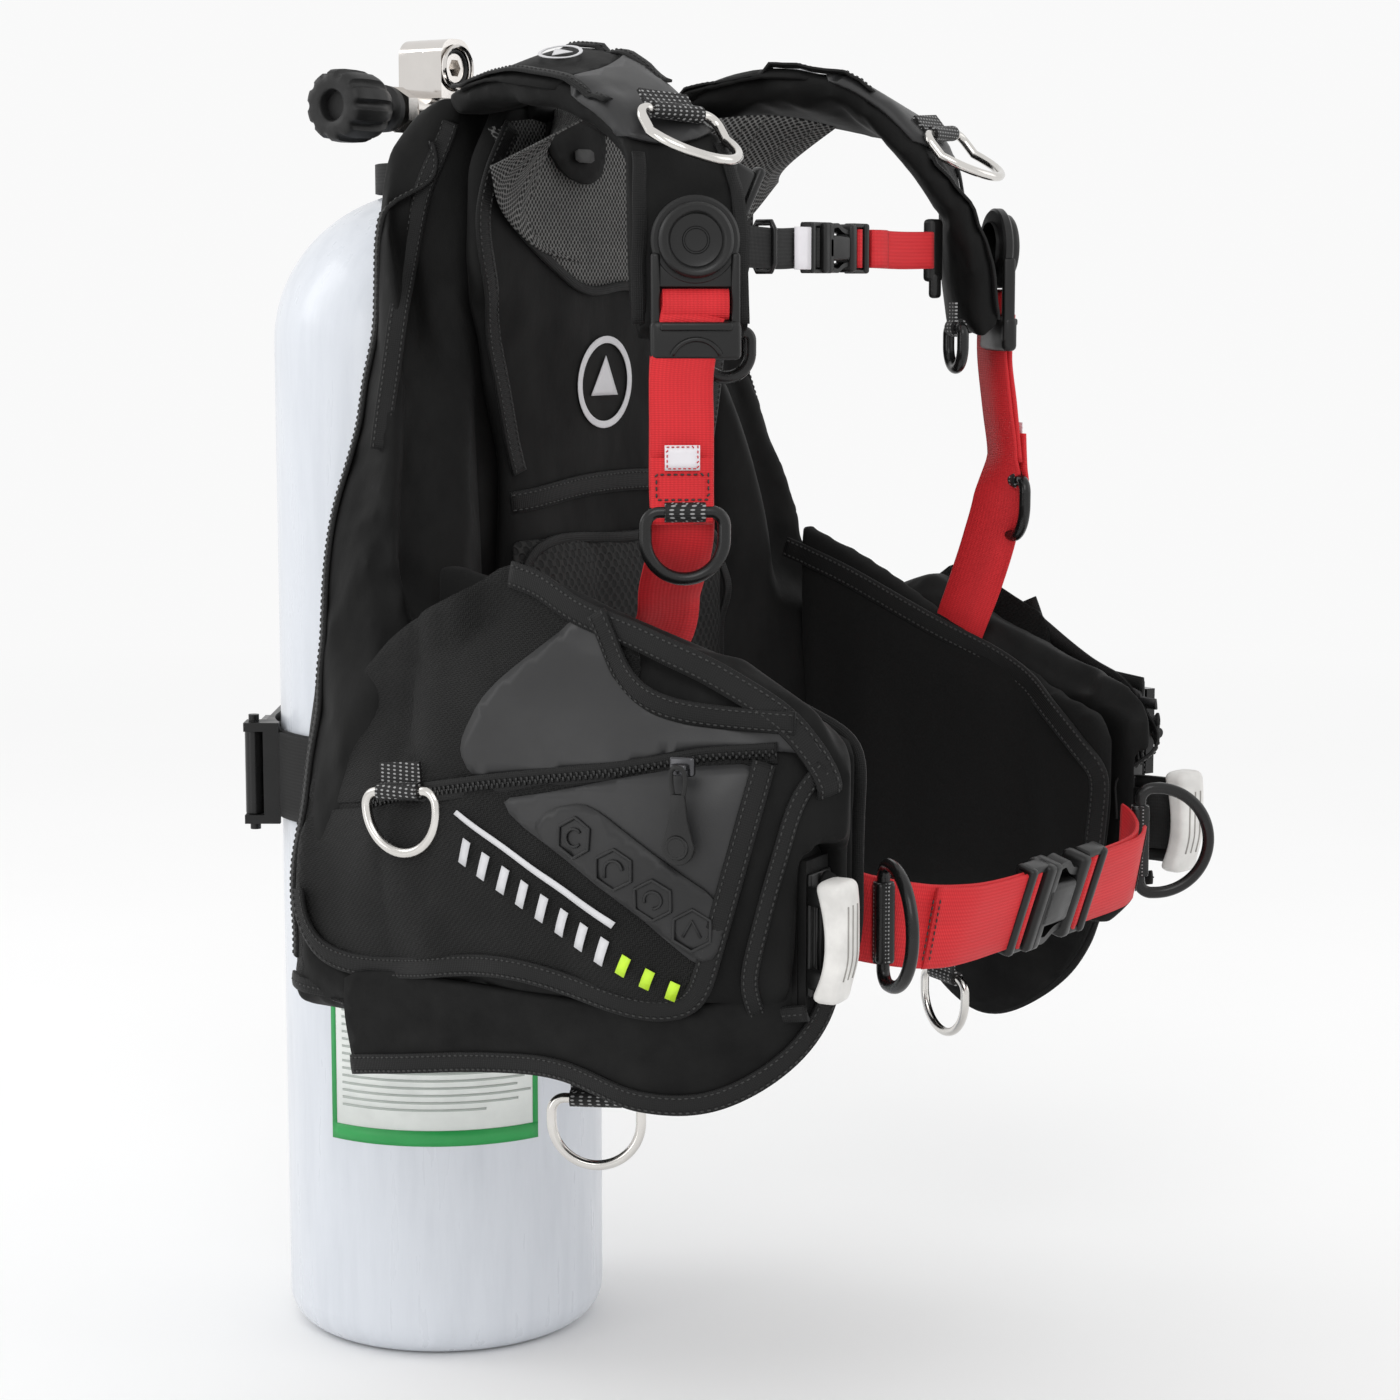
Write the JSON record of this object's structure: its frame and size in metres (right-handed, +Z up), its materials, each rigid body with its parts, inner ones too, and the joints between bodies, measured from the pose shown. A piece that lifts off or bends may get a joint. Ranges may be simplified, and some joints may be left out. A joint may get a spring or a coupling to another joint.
{
  "type": "diving cylinder with buoyancy vest",
  "caption": "White aluminium diving cylinder with yoke valve, strapped to a black buoyancy vest with red harness webbing, D rings and weight pouches.",
  "frame": {"origin": "centre of the cylinder's flat base", "axes": "+Z up along the cylinder, -Y the way the wearer faces, -X the wearer's right"},
  "size_m": [0.5111, 0.524, 0.74],
  "materials": {
    "white_paint": "white paint over aluminium alloy",
    "label": "white printed film with a green border and no lettering",
    "chrome": "polished chrome over brass",
    "black_rubber": "moulded black rubber",
    "black_webbing": "black nylon webbing",
    "red_webbing": "red nylon webbing",
    "black_fabric": "black ballistic weave nylon",
    "lining": "soft black knitted lining over foam",
    "white_plastic": "white moulded plastic",
    "steel": "polished stainless steel",
    "black_plastic": "black acetal moulding, satin"
  },
  "bodies": {
    "root": {"back_panel": "black_fabric", "backplate": "black_plastic", "burst_disc_plug": "chrome", "cam_buckle_base": "black_plastic", "carry_handle": "black_webbing", "chest_buckle_female": "black_plastic", "chest_webbing": "black_webbing", "control_housing": "black_plastic", "exhaust_valves": "black_plastic", "lobe_left": "lining", "lobe_right": "lining", "lumbar_pad": "lining", "neck_strap": "black_webbing", "pocket_left": "black_fabric", "pocket_right": "black_fabric", "ring_loops": "black_webbing", "shoulder_pad_left": "black_fabric", "shoulder_pad_right": "black_fabric", "skirts": "black_fabric", "strap_left": "red_webbing", "strap_right": "red_webbing", "swivel_hubs": "black_plastic", "tank_band": "black_webbing", "tank_label": "label", "tank_shell": "white_paint", "valve_body": "chrome", "valve_bonnet": "chrome", "valve_insert": "chrome", "valve_oring": "black_rubber", "waist_belt": "red_webbing", "waist_buckle_female": "black_plastic", "wing_left": "black_fabric", "wing_right": "black_fabric", "zip_tape": "black_webbing"},
    "knob": {"valve_knob": "black_rubber", "valve_stem": "chrome"},
    "cam_lever": {"cam_lever": "black_plastic"},
    "swivel_right": {"swivel_buckle_right": "black_plastic"},
    "shoulder_ring_right": {"shoulder_ring_right": "steel"},
    "end_ring_right": {"end_ring_right": "black_plastic"},
    "strap_ring_right": {"strap_ring_right": "black_plastic"},
    "waist_ring_right": {"waist_ring_right": "black_plastic"},
    "pocket_ring_right": {"pocket_ring_right": "steel"},
    "bottom_ring_right": {"bottom_ring_right": "steel"},
    "weight_right": {"weight_pouch_right": "lining", "weight_handle_right": "white_plastic"},
    "swivel_left": {"swivel_buckle_left": "black_plastic"},
    "shoulder_ring_left": {"shoulder_ring_left": "steel"},
    "end_ring_left": {"end_ring_left": "black_plastic"},
    "strap_ring_left": {"strap_ring_left": "black_plastic"},
    "waist_ring_left": {"waist_ring_left": "black_plastic"},
    "pocket_ring_left": {"pocket_ring_left": "steel"},
    "bottom_ring_left": {"bottom_ring_left": "steel"},
    "weight_left": {"weight_pouch_left": "lining", "weight_handle_left": "white_plastic"},
    "chest_buckle_male": {"chest_buckle_male": "black_plastic"},
    "waist_buckle_male": {"waist_buckle_male": "black_plastic"},
    "zip_slider": {"zip_slider": "steel"},
    "zip_pull": {"zip_pull": "black_rubber"},
    "control_lever": {"control_lever": "black_plastic"}
  },
  "joints": [
    {"name": "valve_knob_turn", "type": "hinge", "parent": "root", "child": "knob", "pos_m": [-0.06, 0, 0.7], "axis": [-1, 0, 0], "range_deg": [0, 720]},
    {"name": "cam_lever_open", "type": "hinge", "parent": "root", "child": "cam_lever", "pos_m": [-0.08444, 0.06829, 0.328], "axis": [0, 0, 1], "range_deg": [0, 110]},
    {"name": "swivel_turn_right", "type": "hinge", "parent": "root", "child": "swivel_right", "pos_m": [-0.143, -0.279, 0.624], "axis": [-0.7547, -0.6561, 0], "range_deg": [-12, 12]},
    {"name": "shoulder_ring_swing_right", "type": "hinge", "parent": "root", "child": "shoulder_ring_right", "pos_m": [-0.127, -0.257, 0.686], "axis": [-0.9836, 0.1706, 0.0579], "range_deg": [0, 95]},
    {"name": "end_ring_swing_right", "type": "hinge", "parent": "root", "child": "end_ring_right", "pos_m": [-0.112, -0.276, 0.58], "axis": [-0.6549, 0.7557, 0], "range_deg": [-75, 5]},
    {"name": "strap_ring_swing_right", "type": "hinge", "parent": "root", "child": "strap_ring_right", "pos_m": [-0.161, -0.286, 0.495], "axis": [-0.6549, 0.7557, 0], "range_deg": [0, 95]},
    {"name": "waist_ring_swing_right", "type": "hinge", "parent": "root", "child": "waist_ring_right", "pos_m": [-0.134, -0.3825, 0.302], "axis": [0, 0, 1], "range_deg": [-20, 50]},
    {"name": "pocket_ring_swing_right", "type": "hinge", "parent": "root", "child": "pocket_ring_right", "pos_m": [-0.246, -0.178, 0.361], "axis": [0, 0.995, -0.0995], "range_deg": [0, 95]},
    {"name": "bottom_ring_swing_right", "type": "hinge", "parent": "root", "child": "bottom_ring_right", "pos_m": [-0.171, -0.239, 0.202], "axis": [-0.4711, 0.8821, 0], "range_deg": [-80, 50]},
    {"name": "weight_pull_right", "type": "slide", "parent": "root", "child": "weight_right", "axis": [0.1392, -0.9903, 0], "range_m": [0, 0.14]},
    {"name": "swivel_turn_left", "type": "hinge", "parent": "root", "child": "swivel_left", "pos_m": [0.143, -0.279, 0.624], "axis": [0.7547, -0.6561, 0], "range_deg": [-12, 12]},
    {"name": "shoulder_ring_swing_left", "type": "hinge", "parent": "root", "child": "shoulder_ring_left", "pos_m": [0.127, -0.257, 0.686], "axis": [-0.9836, -0.1706, -0.0579], "range_deg": [0, 95]},
    {"name": "end_ring_swing_left", "type": "hinge", "parent": "root", "child": "end_ring_left", "pos_m": [0.112, -0.276, 0.58], "axis": [-0.6549, -0.7557, 0], "range_deg": [-75, 5]},
    {"name": "strap_ring_swing_left", "type": "hinge", "parent": "root", "child": "strap_ring_left", "pos_m": [0.161, -0.286, 0.495], "axis": [-0.6549, -0.7557, 0], "range_deg": [0, 95]},
    {"name": "waist_ring_swing_left", "type": "hinge", "parent": "root", "child": "waist_ring_left", "pos_m": [0.134, -0.3825, 0.302], "axis": [0, 0, -1], "range_deg": [-30, 50]},
    {"name": "pocket_ring_swing_left", "type": "hinge", "parent": "root", "child": "pocket_ring_left", "pos_m": [0.246, -0.178, 0.361], "axis": [0, -0.995, 0.0995], "range_deg": [0, 95]},
    {"name": "bottom_ring_swing_left", "type": "hinge", "parent": "root", "child": "bottom_ring_left", "pos_m": [0.171, -0.239, 0.202], "axis": [-0.4711, -0.8821, 0], "range_deg": [-80, 8]},
    {"name": "weight_pull_left", "type": "slide", "parent": "root", "child": "weight_left", "axis": [-0.1392, -0.9903, 0], "range_m": [0, 0.14]},
    {"name": "chest_buckle_release", "type": "slide", "parent": "root", "child": "chest_buckle_male", "axis": [1, 0, 0], "range_m": [0, 0.03]},
    {"name": "waist_buckle_release", "type": "slide", "parent": "root", "child": "waist_buckle_male", "axis": [1, 0, 0], "range_m": [0, 0.04]},
    {"name": "zip_slide", "type": "slide", "parent": "root", "child": "zip_slider", "axis": [-0.2055, 0.9666, -0.153], "range_m": [0, 0.04]},
    {"name": "zip_pull_swing", "type": "hinge", "parent": "zip_slider", "child": "zip_pull", "pos_m": [-0.24032, -0.33826, 0.386], "axis": [-0.2055, 0.9666, -0.153], "range_deg": [0, 140]},
    {"name": "control_lever_rock", "type": "hinge", "parent": "root", "child": "control_lever", "pos_m": [0.25053, -0.3207, 0.345], "axis": [0.3746, 0.9272, 0], "range_deg": [-8, 8], "stiffness_Nm_per_rad": 0.4}
  ]
}
